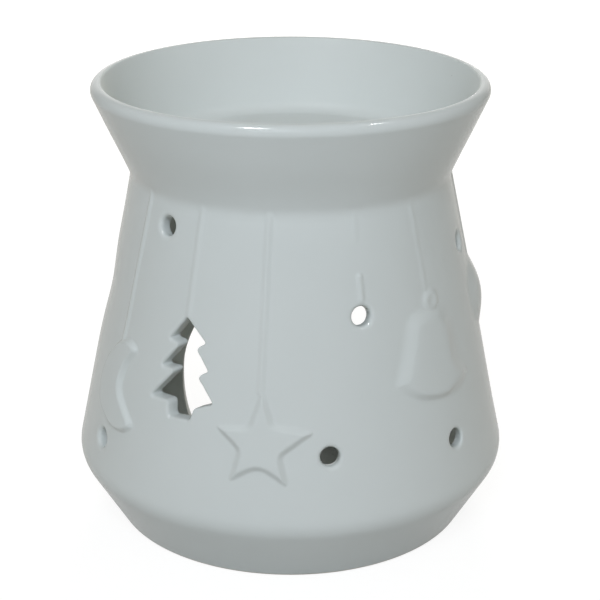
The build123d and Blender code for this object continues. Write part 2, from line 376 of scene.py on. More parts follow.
def reliefRise(points):
    # how far the clay stands out at points of the outside
    rises = [figure["rise"] * smoothRamp(slopeStart, figure["slope"], figureDepth(points, figure))
             for figure in (starSettings, moonSettings)]
    acrossBell, upBell = localPoints(points, bell).T
    slope = bell["lipSlope"] + (bell["slope"] - bell["lipSlope"]) * smoothRamp(*bell["lipBand"], upBell)
    slope += bell["rightSlope"] * smoothRamp(*bell["rightBand"], acrossBell)
    rises.append(bell["rise"] * smoothRamp(slopeStart, 1, figureDepth(points, bell) / slope))
    loopIn = loopDepth(points)
    filled = 1 - bell["hollow"] * smoothRamp(*bell["hollowSlope"], loopIn)
    rises.append(bell["loopRise"] * smoothRamp(*bell["loopSlope"], loopIn) * filled)
    rises.append(bauble["rise"] * np.clip(1 - baubleShare(points) ** 2, 0, 1) ** bauble["taper"])
    fade = 1 - smoothRamp(thread["topHeight"] - thread["fade"], thread["topHeight"], points[:, 2])
    for run in thread["runs"]:
        ridge = 1 - smoothRamp(thread["crest"], thread["width"], threadGap(points, run))
        rises.append(thread["rise"] * run[-1] * fade * ridge)
    turn = np.degrees(np.arctan2(points[:, 0], -points[:, 1]))
    uneven = np.zeros(len(points))
    for atTurn, atHeight, around, up, depth in pot["dents"]:
        uneven += depth * np.exp(-((turn - atTurn) / around) ** 2 - ((points[:, 2] - atHeight) / up) ** 2)
    return np.maximum.reduce(rises) + uneven


# Openings: rings of points from the outside, round its mouth, through the wall and round the inner mouth

def ontoSurface(points, direction, section):
    # slide points along a direction until they lie on a turned surface
    tries = 12
    for _ in range(tries):
        radius = np.hypot(points[:, 0], points[:, 1])
        wanted = np.interp(points[:, 2], section["wall"][:, 1], section["wall"][:, 0])
        outward = (direction * points * [1, 1, 0]).sum(1) / radius
        points = points + direction * ((wanted - radius) / outward)[:, None]
    return points


def surfaceNormal(points, section):
    nudge = 0.05             # to each side along the section
    turn, way, _ = toSheet(points, section).T
    step = fromSheet(turn, way + nudge, section) - fromSheet(turn, way - nudge, section)
    angle = np.radians(turn)
    around = np.stack([np.cos(angle), np.sin(angle), np.zeros(len(angle))], 1)
    return unit(np.cross(around, step) * section["flip"])


def mouthRings(points, inward, section, reach, steps):
    # from the surface round the edge of an opening into its wall;
    # seen from outside the pot, the points run anticlockwise
    along = np.roll(points, -1, 0) - np.roll(points, 1, 0)
    away = unit(np.cross(along, surfaceNormal(points, section)) * section["flip"])
    # where the clay comes to a point the rounding stays smaller than the point
    pointShare = 0.6
    before, after = points - np.roll(points, 1, 0), np.roll(points, -1, 0) - points
    bend = ((unit(after) - unit(before)) * away).sum(1) / np.linalg.norm(after, axis=1)
    reach = np.minimum(reach, pointShare / np.maximum(bend, tiny))
    # so do its two neighbours on each side, and the change is eased three times
    for _ in range(2):
        reach = np.minimum.reduce([np.roll(reach, k) for k in (-1, 0, 1)])
    for _ in range(3):
        reach = (np.roll(reach, 1) + 2 * reach + np.roll(reach, -1)) / 4
    rings = []
    for step in range(steps + 1):
        t = step / steps
        rings.append(points + reach[:, None] * ((1 - t) ** 2 * away + t * t * inward))
    return rings


openings = []


def addOpening(outer, inner, inward, reach):
    openings.append({
        "outer": mouthRings(outer, inward, outside, reach, pot["mouthSteps"]),
        "inner": mouthRings(inner, -inward, inside, pot["innerReach"], pot["innerSteps"]),
    })


def cutWall(ring, out, tool, reach):
    # a ring drawn on the wall, cut through to the chamber the way the tool points
    outer = ontoSurface(ring, -out, outside)
    inner = ontoSurface(ring + tool * pot["wall"], tool, inside)
    addOpening(outer, inner, tool, reach)


for turn, height, skew in ventSettings["places"]:
    origin, across, up, out = wallFrame(turn, height)
    angles = (np.arange(ventSettings["points"]) * 2 * math.pi / ventSettings["points"])[:, None]
    ring = origin + ventSettings["radius"] * (np.cos(angles) * across + np.sin(angles) * up)
    cutWall(ring, out, -wallFrame(turn - skew, height)[3], pot["ventReach"])

origin, across, up, out = wallFrame(treeSettings["turn"], treeSettings["height"])
treeOutline = softOutline(treeSettings["corners"], treeSettings["notch"], treeSettings["spacing"])
ring = origin + treeOutline[:, :1] * across + treeOutline[:, 1:] * up
knife = math.radians(treeSettings["knifeTurn"])
cutWall(ring, out, np.array([-math.sin(knife), math.cos(knife), 0]), pot["treeReach"])

# the arch is cut straight in from the back and stops level with the chamber's floor
archHalf = math.sqrt(arch["radius"] ** 2 - (arch["centreHeight"] - pot["floorThickness"]) ** 2)
archLow = math.atan2(pot["floorThickness"] - arch["centreHeight"], archHalf)
archOutline = [(-arch["radius"] * math.cos(a), arch["centreHeight"] + arch["radius"] * math.sin(a))
               for a in np.linspace(archLow, math.pi - archLow, arch["topPoints"])]
sill = np.linspace(archHalf, -archHalf, arch["sillPoints"])[1:-1]
archOutline += [(x, pot["floorThickness"]) for x in sill]


def archPlaces(section, floorRadius):
    # the arch's outline dropped straight back onto a turned surface
    places = []
    for x, z in archOutline:
        wallRadius = np.interp(z, section["wall"][:, 1], section["wall"][:, 0])
        radius = floorRadius if z <= pot["floorThickness"] + tiny else wallRadius
        places.append((x, math.sqrt(radius ** 2 - x ** 2), z))
    return np.array(places)


backIn = np.array([0, -1.0, 0])
floorInside = inside["line"][1][0]               # where the chamber's floor starts to round up
addOpening(archPlaces(outside, floorOutside), archPlaces(inside, floorInside), backIn, pot["archReach"])
print("figures and openings laid out")


# Flat sheets: x is the turn, y the way along the section, z the rise. A node tree wraps them round the pot.

sheetSettings = {
    "columns": 168,          # round the plain turned parts
    "footStep": 6, "dishStep": 3, "floorStep": 5, "roofStep": 6,     # between their rows
    # the stretches with the figures and openings are cut in triangles of growing size
    "margin": 0.4,           # from the roundings of foot and rim
    "innerLow": 14.0, "roofMargin": 4,           # where the chamber's stretch starts, and ends past its arc
    "sideStep": 2.5,         # up the seam
    "finest": 0.32,          # the smallest spacing
    "outsideGaps": [1.15, 2.6, 5.5],             # from an edge, where the triangles double
    "insideGaps": [0.2, 1.0, 4.0],
    "loopEase": 0.9, "loopRoom": 9,              # an opening asks for less than a figure, and only near it
    "borderShare": 0.45, "loopShare": 0.5,       # of the spacing, that stays clear of borders and openings
    "weld": 1e-5,            # the cutter joins points closer than this
    # edges: how deep in a figure and in the loop, then the share of the bauble,
    # which swells softly and asks for less
    "figureEdge": 0.6, "loopEdge": 1.2, "baubleEdge": 0.8, "baubleEase": 1.2, "baubleRate": 4,
    "bends": {"Shoulder": 1.5, "Waist": 1.0},    # how far past its arc each counts
    "bendGap": 2.61,         # they ask for the second doubling
}
cut = sheetSettings
outside["levelGaps"], inside["levelGaps"] = cut["outsideGaps"], cut["insideGaps"]
sheetTurns = seamTurn + np.arange(cut["columns"] + 1) * 360 / cut["columns"]
flatPoints, flatInside, flatFaces = [], [], []


def addFlat(points, faces, section):
    first = len(flatPoints)
    flatPoints.extend(points.tolist())
    flatInside.extend([float(section is inside)] * len(points))
    for face in faces:
        face = [first + i for i in face]
        flatFaces.append(face[::-1] if section is inside else face)
    return first


def addRows(ways, section):
    # plain turned stretch: even columns, one row at each way along the section
    points = np.array([(turn, way, 0) for way in ways for turn in sheetTurns])
    faces = []
    for row in range(len(ways) - 1):
        for column in range(cut["columns"]):
            a = row * len(sheetTurns) + column
            b = a + len(sheetTurns)
            faces.append((a, a + 1, b + 1, b))
    addFlat(points, faces, section)


def bandFaces(first, second, count):
    # between two rings of points, given where each starts
    return [(first + i, first + (i + 1) % count, second + (i + 1) % count, second + i) for i in range(count)]


def addStrip(rings, section, relief):
    # rings of equal count joined into a band, from the surface inwards; tells where the last ring starts
    count = len(rings[0])
    flats = [toSheet(ring, section) for ring in rings]
    # the first ring lies exactly on the sheet that it closes
    excess = flats[0][:, 2].copy()
    faces = []
    for k, flat in enumerate(flats):
        share = 1 - k / (len(rings) - 1)
        flat[:, 2] += relief * share ** 2 - excess * share
        if k:
            faces += bandFaces((k - 1) * count, k * count, count)
    return addFlat(np.concatenate(flats), faces, section) + count * (len(rings) - 1)


def nearLoops(points, loops, room):
    # for each opening, which points lie near it, and how far within it
    for loop in loops:
        centre = loop.mean(0)
        near = np.where(np.abs(points - centre).max(1) < np.abs(loop - centre).max() + room)[0]
        yield near, outlineDistance(points[near], loop)


def sheetBorder(low, high):
    # anticlockwise, with the same columns as the plain rows that it meets
    sides = np.linspace(low, high, int((high - low) / cut["sideStep"]) + 1)[1:-1]
    border = [(turn, low) for turn in sheetTurns] + [(seamTurn + 360, way) for way in sides]
    border += [(turn, high) for turn in sheetTurns[::-1]] + [(seamTurn, way) for way in sides[::-1]]
    return np.array(border) * [turnWidth, 1]


def latticePoints(section, low, high, loops, gapAt):
    # nested triangular lattice: a point that many halvings share is kept everywhere,
    # and a fine one only where it is needed
    finest = cut["finest"]
    rowHeight = finest * math.sqrt(3) / 2
    rows, across = int((high - low) / rowHeight) + 1, int(360 * turnWidth / finest) + 1
    j, i = np.meshgrid(np.arange(rows), np.arange(-rows // 2 - 1, across), indexing="ij")
    j, i = j.ravel(), i.ravel()
    grid = np.stack([seamTurn * turnWidth + (i + j / 2) * finest, low + j * rowHeight], 1)
    left, right = seamTurn * turnWidth, (seamTurn + 360) * turnWidth
    held = (grid[:, 0] > left) & (grid[:, 0] < right)
    i, j, grid = i[held], j[held], grid[held]
    level = sum(((i % 2 ** k == 0) & (j % 2 ** k == 0)).astype(int) for k in (1, 2, 3))
    gap = gapAt(fromSheet(grid[:, 0] / turnWidth, grid[:, 1], section))
    loopRoom = np.full(len(grid), farOff)
    inLoop = np.zeros(len(grid), bool)
    for near, distance in nearLoops(grid, loops, cut["loopRoom"]):
        gap[near] = np.minimum(gap[near], np.abs(distance) + cut["loopEase"])
        loopRoom[near] = np.minimum(loopRoom[near], np.abs(distance))
        inLoop[near[distance > 0]] = True
    wanted = np.digitize(gap, section["levelGaps"])
    spacing = finest * 2.0 ** wanted
    edgeRoom = np.minimum.reduce([grid[:, 0] - left, right - grid[:, 0], grid[:, 1] - low, high - grid[:, 1]])
    clear = (edgeRoom > cut["borderShare"] * spacing) & (loopRoom > cut["loopShare"] * spacing)
    return grid[(level >= wanted) & ~inLoop & clear]


def addCutSheet(section, low, high, loops, gapAt):
    # triangles of growing size over the stretch from low to high, with the openings left out
    loops = [loop[:, :2] * [turnWidth, 1] for loop in loops]
    points, edges = [], []
    for outline in [sheetBorder(low, high)] + loops:
        first = sum(len(p) for p in points)
        points.append(outline)
        edges += [(first + i, first + (i + 1) % len(outline)) for i in range(len(outline))]
    points.append(latticePoints(section, low, high, loops, gapAt))
    corners = [Vector(p) for p in np.concatenate(points).tolist()]
    verts, _, faces, _, _, _ = delaunay_2d_cdt(corners, edges, [], 0, cut["weld"])
    verts = np.array([tuple(v) for v in verts])
    faces = np.array([f for f in faces if len(f) == 3])
    drop = np.zeros(len(faces), bool)
    for near, distance in nearLoops(verts[faces].mean(1), loops, 0):
        drop[near[distance > 0]] = True
    faces = faces[~drop]
    a, b, c = (verts[faces[:, k]] for k in range(3))
    turned = np.cross(b - a, c - a) < 0
    faces[turned] = faces[turned][:, ::-1]
    turn, way = verts[:, 0] / turnWidth, verts[:, 1]
    rise = reliefRise(fromSheet(turn, way, section)) if section is outside else np.zeros(len(verts))
    addFlat(np.stack([turn, way, rise], 1), faces.tolist(), section)


def outsideGap(points):
    # distance to the nearest edge or bend that needs a fine mesh
    gaps = [np.abs(figureDepth(points, figure) - cut["figureEdge"]) for figure in outlinedFigures]
    gaps.append(np.abs(loopDepth(points) - cut["loopEdge"]))
    gaps.append(cut["baubleEase"] + cut["baubleRate"] * np.abs(baubleShare(points) - cut["baubleEdge"]))
    gaps += [threadGap(points, run) for run in thread["runs"]]
    for corner, room in cut["bends"].items():
        low, high = np.interp(outside["marks"][corner], outside["along"], outside["line"][:, 1])
        bent = (points[:, 2] > low - room) & (points[:, 2] < high + room)
        gaps.append(np.where(bent, cut["bendGap"], farOff))
    return np.minimum.reduce(gaps)


def plainGap(points):
    return np.full(len(points), farOff)


cutLow, cutHigh = outside["marks"]["Foot"][1] + cut["margin"], outside["marks"]["Rim"][0] - cut["margin"]
addCutSheet(outside, cutLow, cutHigh, [toSheet(o["outer"][0], outside) for o in openings], outsideGap)
innerLow, innerHigh = cut["innerLow"], inside["marks"]["Roof Edge"][1] + cut["roofMargin"]
addCutSheet(inside, innerLow, innerHigh, [toSheet(o["inner"][0], inside) for o in openings], plainGap)
print("sheets cut:", len(flatPoints), "points")


def evenWays(low, high, spacing):
    return np.linspace(low, high, max(2, int((high - low) / spacing) + 2))


def waysThrough(section, low, high, spacing, arcs):
    # even rows along straight stretches, closer ones round the named arcs
    ways, at = [low], low
    for name in arcs:
        start, end = section["marks"][name]
        ways += list(evenWays(at, start, spacing)[1:]) + list(np.linspace(start, end, arcSteps + 1)[1:])
        at = end
    return ways + list(evenWays(at, high, spacing)[1:])


dishEnd, roofEnd = outside["along"][-1], inside["along"][-1]
addRows(waysThrough(outside, 0, cutLow, cut["footStep"], ["Foot"]), outside)
addRows(waysThrough(outside, cutHigh, dishEnd, cut["dishStep"], ["Rim", "Lip", "Dish Corner"]), outside)
addRows(evenWays(0, innerLow, cut["floorStep"]), inside)
addRows(evenWays(innerHigh, roofEnd, cut["roofStep"]), inside)
for opening in openings:
    mouth = toSheet(opening["outer"][0], outside)
    relief = reliefRise(fromSheet(mouth[:, 0], mouth[:, 1], outside))
    outerLast = addStrip(opening["outer"], outside, relief)
    innerLast = addStrip(opening["inner"], inside, 0)
    flatFaces.extend(bandFaces(outerLast, innerLast, len(mouth)))
print("flat pot:", len(flatPoints), "points,", len(flatFaces), "faces")


def newTree(name, inputs):
    # a tree that takes and gives geometry, with named inputs for its sizes and its material
    tree = bpy.data.node_groups.new(name, "GeometryNodeTree")
    tree.interface.new_socket("Geometry", in_out="INPUT", socket_type="NodeSocketGeometry")
    for title, kind in inputs:
        tree.interface.new_socket(title, in_out="INPUT", socket_type="NodeSocket" + kind)
    tree.interface.new_socket("Geometry", in_out="OUTPUT", socket_type="NodeSocketGeometry")
    return tree, addNode(tree, "NodeGroupInput")


def finishTree(tree, shape, material):
    smooth = addNode(tree, "GeometryNodeSetShadeSmooth", None, {"Geometry": shape})
    real = addNode(tree, "GeometryNodeRealizeInstances", None, {"Geometry": smooth.outputs[0]})
    dressed = addNode(tree, "GeometryNodeSetMaterial", None,
                      {"Geometry": real.outputs[0], "Material": material})
    addNode(tree, "NodeGroupOutput", None, {"Geometry": dressed.outputs[0]})


def linkValues(tree, kind, values):
    # an index switch that hands each corner its own input
    node = addNode(tree, "GeometryNodeIndexSwitch", {"data_type": kind})
    for _ in range(len(values) - 2):
        node.index_switch_items.new()
    index = addNode(tree, "GeometryNodeInputIndex")
    tree.links.new(index.outputs[0], node.inputs["Index"])
    for position, source in enumerate(values):
        tree.links.new(source, node.inputs[str(position)])
    return node.outputs[0]


def sectionCurve(tree, given, corners):
    line = addNode(tree, "GeometryNodeMeshLine", {"Count": len(corners)})
    places = linkValues(tree, "VECTOR", [given.outputs[name] for name, *_ in corners])
    placed = addNode(tree, "GeometryNodeSetPosition", None, {"Geometry": line.outputs[0], "Position": places})
    curve = addNode(tree, "GeometryNodeMeshToCurve", None, {"Mesh": placed.outputs[0]})
    rounds = linkValues(tree, "FLOAT", [given.outputs[name + " Round"] for name, *_ in corners])
    fillet = addNode(tree, "GeometryNodeFilletCurve", {"mode": "POLY", "Count": arcSteps},
                     {"Curve": curve.outputs[0], "Radius": rounds})
    return fillet.outputs[0]


def buildTurnedPotTree():
    # wraps the flat sheets round two turned sections: the outside with the dish, and the chamber
    inputs = [("Glaze", "Material")]
    for name, *_ in outsideCorners + insideCorners:
        inputs += [(name, "Vector"), (name + " Round", "Float")]
    tree, given = newTree("turnedPot", inputs)
    position = addNode(tree, "GeometryNodeInputPosition")
    flat = addNode(tree, "ShaderNodeSeparateXYZ", None, {0: position.outputs[0]})
    marked = addNode(tree, "GeometryNodeInputNamedAttribute", {"data_type": "FLOAT", "Name": "inside"})
    within = marked.outputs[0]
    found = []
    for corners in (outsideCorners, insideCorners):
        curve = sectionCurve(tree, given, corners)
        sample = addNode(tree, "GeometryNodeSampleCurve", {"mode": "LENGTH", "data_type": "FLOAT"},
                         {"Curves": curve, "Length": flat.outputs["Y"]})
        found.append(sample)
    mixed = [addNode(tree, "ShaderNodeMix", {"data_type": "VECTOR"},
                     {0: within, 4: found[0].outputs[name], 5: found[1].outputs[name]}).outputs[1]
             for name in ("Position", "Tangent")]
    place, tangent = (addNode(tree, "ShaderNodeSeparateXYZ", None, {0: source}) for source in mixed)
    # the clay's outward side is right of the outside section and left of the chamber's
    side = addNode(tree, "ShaderNodeMath", {"operation": "MULTIPLY_ADD", 1: -2.0, 2: 1.0}, {0: within})
    rise = addNode(tree, "ShaderNodeMath", {"operation": "MULTIPLY"},
                   {0: side.outputs[0], 1: flat.outputs["Z"]})
    radius = addNode(tree, "ShaderNodeMath", {"operation": "MULTIPLY_ADD"},
                     {0: tangent.outputs["Z"], 1: rise.outputs[0], 2: place.outputs["X"]})
    drop = addNode(tree, "ShaderNodeMath", {"operation": "MULTIPLY"},
                   {0: tangent.outputs["X"], 1: rise.outputs[0]})
    height = addNode(tree, "ShaderNodeMath", {"operation": "SUBTRACT"},
                     {0: place.outputs["Z"], 1: drop.outputs[0]})
    section = addNode(tree, "ShaderNodeCombineXYZ", None, {"X": radius.outputs[0], "Z": height.outputs[0]})
    angle = addNode(tree, "ShaderNodeMath", {"operation": "SUBTRACT", 1: math.pi / 2}, {0: flat.outputs["X"]})
    turned = addNode(tree, "ShaderNodeVectorRotate", {"rotation_type": "Z_AXIS"},
                     {"Vector": section.outputs[0], "Angle": angle.outputs[0]})
    moved = addNode(tree, "GeometryNodeSetPosition", None,
                    {"Geometry": given.outputs["Geometry"], "Position": turned.outputs[0]})
    merged = addNode(tree, "GeometryNodeMergeByDistance", {"Distance": pot["weld"] * mm},
                     {"Geometry": moved.outputs[0]})
    finishTree(tree, merged.outputs[0], given.outputs["Glaze"])
    return tree


def setInput(modifier, name, value):
    # a modifier's input goes by the socket's identifier
    for item in modifier.node_group.interface.items_tree:
        if item.in_out == "INPUT" and item.name == name:
            modifier[item.identifier] = value


def runTree(piece, tree, values):
    # evaluate the tree once and keep its result as a plain mesh
    modifier = piece.modifiers.new("shape", "NODES")
    modifier.node_group = tree
    for name, value in values.items():
        setInput(modifier, name, value)
    shaped = piece.evaluated_get(bpy.context.evaluated_depsgraph_get())
    result = bpy.data.meshes.new_from_object(shaped)
    piece.modifiers.remove(modifier)
    piece.data = result


def addPiece(name, mesh):
    piece = bpy.data.objects.new(name, mesh)
    bpy.context.collection.objects.link(piece)
    return piece


# Materials

# A Mix node's sockets go by number: 0 is the factor, and its two numbers are 2 and 3, vectors 4 and 5,
# colours 6 and 7. Its results are 0, 1 and 2 in the same order.

def newMaterial(name):
    material = bpy.data.materials.new(name)
    material.use_nodes = True
    return material, material.node_tree, material.node_tree.nodes["Principled BSDF"]


def patternScale(size):
    # a texture's scale from the size of its grain
    return 1 / (size * mm)


glazeSettings = {
    "tint": "#D5DBD9", "paleTint": "#DBE0DE", "cloud": 33.333, "cloudDetail": 2.0,
    "pinholeTint": "#8E8F84", "pinholeSpacing": 13.333,
    "pinholeCore": 0.008, "pinholeEdge": 0.016,  # shares of the spacing
    "clayTint": "#CFC8B9", "paleClayTint": "#DDD7CA", "clayGrain": 1.1111, "clayDetail": 3.0,
    "wipedTo": 0.3, "glazedFrom": 0.9,           # heights above the resting face
    "roughness": 0.14, "dishRoughness": 0.5, "clayRoughness": 0.75, "ior": 1.5,
    "dishFadeOut": -0.6, "dishFadeIn": -0.1,     # from the cone of the dish
    "dishFrom": 100.0, "dishFull": 101.0,        # heights
    "wave": 11.111, "waveDetail": 1.0, "waveStrength": 0.25, "waveDepth": 0.4,
}


def glazedEarthenware():
    # white tin glaze poured over slip-cast earthenware: a pale, faintly green-grey white that is very smooth,
    # waves slowly and has a few pinholes; it is duller in the dish, and the foot is wiped bare
    look = glazeSettings
    material, tree, shader = newMaterial("glazedEarthenware")
    coords = addNode(tree, "ShaderNodeTexCoord").outputs["Object"]
    height = addNode(tree, "ShaderNodeSeparateXYZ", None, {0: coords}).outputs["Z"]
    cloud = addNode(tree, "ShaderNodeTexNoise", {
        "Scale": patternScale(look["cloud"]), "Detail": look["cloudDetail"]}, {"Vector": coords})
    tint = addNode(tree, "ShaderNodeMix", {
        "data_type": "RGBA", 6: hexColour(look["tint"]), 7: hexColour(look["paleTint"])},
        {0: cloud.outputs[0]})
    # pinholes about 0.3 mm wide and 13 mm apart
    cells = addNode(tree, "ShaderNodeTexVoronoi", {"Scale": patternScale(look["pinholeSpacing"])},
                    {"Vector": coords})
    hole = addNode(tree, "ShaderNodeMapRange", {
        "From Min": look["pinholeCore"], "From Max": look["pinholeEdge"], "To Min": 1.0, "To Max": 0.0},
        {"Value": cells.outputs["Distance"]})
    speck = addNode(tree, "ShaderNodeMix", {"data_type": "RGBA", 7: hexColour(look["pinholeTint"])},
                    {0: hole.outputs[0], 6: tint.outputs[2]})
    # bare clay on the resting face and just above it
    bare = addNode(tree, "ShaderNodeMapRange", {
        "From Min": look["wipedTo"] * mm, "From Max": look["glazedFrom"] * mm, "To Min": 1.0, "To Max": 0.0},
        {"Value": height})
    clay = addNode(tree, "ShaderNodeTexNoise", {
        "Scale": patternScale(look["clayGrain"]), "Detail": look["clayDetail"]}, {"Vector": coords})
    clayTint = addNode(tree, "ShaderNodeMix", {
        "data_type": "RGBA", 6: hexColour(look["clayTint"]), 7: hexColour(look["paleClayTint"])},
        {0: clay.outputs[0]})
    base = addNode(tree, "ShaderNodeMix", {"data_type": "RGBA"},
                   {0: bare.outputs[0], 6: speck.outputs[2], 7: clayTint.outputs[2]})
    tree.links.new(base.outputs[2], shader.inputs["Base Color"])
    # how far a point lies within the cone of the dish, and above its floor
    flatPlace = addNode(tree, "ShaderNodeVectorMath", {"operation": "MULTIPLY", 1: (1, 1, 0)}, {0: coords})
    radius = addNode(tree, "ShaderNodeVectorMath", {"operation": "LENGTH"}, {0: flatPlace.outputs[0]})
    coneLow = (dishInside - dishFloor * collarSlope) * mm
    edge = addNode(tree, "ShaderNodeMath", {"operation": "MULTIPLY_ADD", 1: collarSlope, 2: coneLow},
                   {0: height})
    within = addNode(tree, "ShaderNodeMath", {"operation": "SUBTRACT"},
                     {0: edge.outputs[0], 1: radius.outputs["Value"]})
    within = addNode(tree, "ShaderNodeMapRange", {
        "From Min": look["dishFadeOut"] * mm, "From Max": look["dishFadeIn"] * mm},
        {"Value": within.outputs[0]})
    above = addNode(tree, "ShaderNodeMapRange", {
        "From Min": look["dishFrom"] * mm, "From Max": look["dishFull"] * mm}, {"Value": height})
    dull = addNode(tree, "ShaderNodeMath", {"operation": "MULTIPLY"},
                   {0: within.outputs[0], 1: above.outputs[0]})
    gloss = addNode(tree, "ShaderNodeMapRange", {
        "To Min": look["roughness"], "To Max": look["dishRoughness"]}, {"Value": dull.outputs[0]})
    matt = addNode(tree, "ShaderNodeMix", {"data_type": "FLOAT", 3: look["clayRoughness"]},
                   {0: bare.outputs[0], 2: gloss.outputs[0]})
    tree.links.new(matt.outputs[0], shader.inputs["Roughness"])
    wave = addNode(tree, "ShaderNodeTexNoise", {
        "Scale": patternScale(look["wave"]), "Detail": look["waveDetail"]}, {"Vector": coords})
    slow = addNode(tree, "ShaderNodeBump", {
        "Strength": look["waveStrength"], "Distance": look["waveDepth"] * mm}, {"Height": wave.outputs[0]})
    tree.links.new(slow.outputs[0], shader.inputs["Normal"])
    shader.inputs["IOR"].default_value = look["ior"]
    return material


foilSettings = {
    "tint": "#D6D8DA", "grain": 0.71429, "grainDetail": 2.0, "roughness": 0.22, "dullest": 0.4,
    "dent": 4.0, "dentDetail": 1.0, "dentStrength": 0.3, "dentDepth": 0.2,
}


def pressedFoil():
    # thin pressed aluminium foil: bright, fairly smooth metal with small dents;
    # the grain is drawn coarse to show
    look = foilSettings
    material, tree, shader = newMaterial("pressedFoil")
    coords = addNode(tree, "ShaderNodeTexCoord").outputs["Object"]
    grain = addNode(tree, "ShaderNodeTexNoise", {
        "Scale": patternScale(look["grain"]), "Detail": look["grainDetail"]}, {"Vector": coords})
    rough = addNode(tree, "ShaderNodeMapRange", {"To Min": look["roughness"], "To Max": look["dullest"]},
                    {"Value": grain.outputs[0]})
    tree.links.new(rough.outputs[0], shader.inputs["Roughness"])
    dent = addNode(tree, "ShaderNodeTexNoise", {
        "Scale": patternScale(look["dent"]), "Detail": look["dentDetail"]}, {"Vector": coords})
    bump = addNode(tree, "ShaderNodeBump", {
        "Strength": look["dentStrength"], "Distance": look["dentDepth"] * mm}, {"Height": dent.outputs[0]})
    tree.links.new(bump.outputs[0], shader.inputs["Normal"])
    shader.inputs["Base Color"].default_value = hexColour(look["tint"])
    shader.inputs["Metallic"].default_value = 1.0
    return material


# two soft materials with one mottled skin: the size of its mottling, and how deep it is
skinSettings = {
    "paraffinWax": {"tint": "#EDEAE0", "paleTint": "#F6F4EC", "grain": 4.5455, "detail": 4.0,
                    "strength": 0.2, "depth": 0.2, "roughness": 0.42,
                    "lightShare": 0.3, "lightReach": (4, 3, 2)},
    "braidedCotton": {"tint": "#DAD4C4", "paleTint": "#F0ECE0", "grain": 0.33333, "detail": 2.0,
                      "strength": 0.4, "depth": 0.1, "roughness": 0.8},
}


def mottledSkin(name):
    look = skinSettings[name]
    material, tree, shader = newMaterial(name)
    coords = addNode(tree, "ShaderNodeTexCoord").outputs["Object"]
    mottle = addNode(tree, "ShaderNodeTexNoise", {
        "Scale": patternScale(look["grain"]), "Detail": look["detail"]}, {"Vector": coords})
    tint = addNode(tree, "ShaderNodeMix", {
        "data_type": "RGBA", 6: hexColour(look["tint"]), 7: hexColour(look["paleTint"])},
        {0: mottle.outputs[0]})
    tree.links.new(tint.outputs[2], shader.inputs["Base Color"])
    bump = addNode(tree, "ShaderNodeBump", {
        "Strength": look["strength"], "Distance": look["depth"] * mm}, {"Height": mottle.outputs[0]})
    tree.links.new(bump.outputs[0], shader.inputs["Normal"])
    shader.inputs["Roughness"].default_value = look["roughness"]
    return material, shader


def paraffinWax():
    # cast paraffin: milky, light goes a few millimetres in, red light furthest; dull skin with soft frost
    look = skinSettings["paraffinWax"]
    material, shader = mottledSkin("paraffinWax")
    shader.inputs["Subsurface Weight"].default_value = look["lightShare"]
    shader.inputs["Subsurface Radius"].default_value = [reach * mm for reach in look["lightReach"]]
    shader.inputs["Subsurface Scale"].default_value = 1.0
    return material


def braidedCotton():
    # waxed cotton braid, off-white and dull; its fibres are drawn coarse to show
    return mottledSkin("braidedCotton")[0]


tinSettings = {"tint": "#B4B4B0", "spangle": 1.1111, "roughness": 0.25, "dullest": 0.45}


def tinnedSteel():
    # stamped tinplate: grey metal with a soft spangle
    look = tinSettings
    material, tree, shader = newMaterial("tinnedSteel")
    coords = addNode(tree, "ShaderNodeTexCoord").outputs["Object"]
    spangle = addNode(tree, "ShaderNodeTexVoronoi", {"Scale": patternScale(look["spangle"])},
                      {"Vector": coords})
    rough = addNode(tree, "ShaderNodeMapRange", {"To Min": look["roughness"], "To Max": look["dullest"]},
                    {"Value": spangle.outputs["Distance"]})
    tree.links.new(rough.outputs[0], shader.inputs["Roughness"])
    shader.inputs["Base Color"].default_value = hexColour(look["tint"])
    shader.inputs["Metallic"].default_value = 1.0
    return material


glaze, foil, paraffin, cotton, tin = (
    glazedEarthenware(), pressedFoil(), paraffinWax(), braidedCotton(), tinnedSteel())
print("materials made")


# The pot's piece: sheets in radians and metres, wrapped, then lifted in front

def liftFront(mesh):
    # the lift grows from the dish's floor to the rim, and is full in front
    places = np.empty(len(mesh.vertices) * 3)
    mesh.vertices.foreach_get("co", places)
    places = places.reshape(-1, 3)
    radius = np.maximum(np.hypot(places[:, 0], places[:, 1]), mm)
    frontShare = np.clip(-places[:, 1] / radius, 0, 1) ** 2
    rimShare = smoothRamp(dishFloor, pot["rimHeight"], places[:, 2] / mm)
    places[:, 2] += pot["frontLift"] * mm * frontShare * rimShare
    mesh.vertices.foreach_set("co", places.ravel())
    mesh.update()


potMesh = bpy.data.meshes.new("potFlat")
potMesh.from_pydata((np.array(flatPoints) * [math.radians(1), mm, mm]).tolist(), [], flatFaces)
mark = potMesh.attributes.new("inside", "FLOAT", "POINT")
mark.data.foreach_set("value", flatInside)
potPiece = addPiece("pot", potMesh)
values = {"Glaze": glaze}
for name, radius, height, rounding in outsideCorners + insideCorners:
    values[name] = (radius * mm, 0.0, height * mm)
    values[name + " Round"] = rounding * mm
runTree(potPiece, buildTurnedPotTree(), values)
liftFront(potPiece.data)
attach(potPiece, "burner")
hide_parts("burner_body")
print("pot turned:", len(potPiece.data.vertices), "points,", len(potPiece.data.polygons), "faces")


# Tealight: foil cup, poured wax, braided wick; its axis stands a little behind the pot's

tealightBack = 5.0


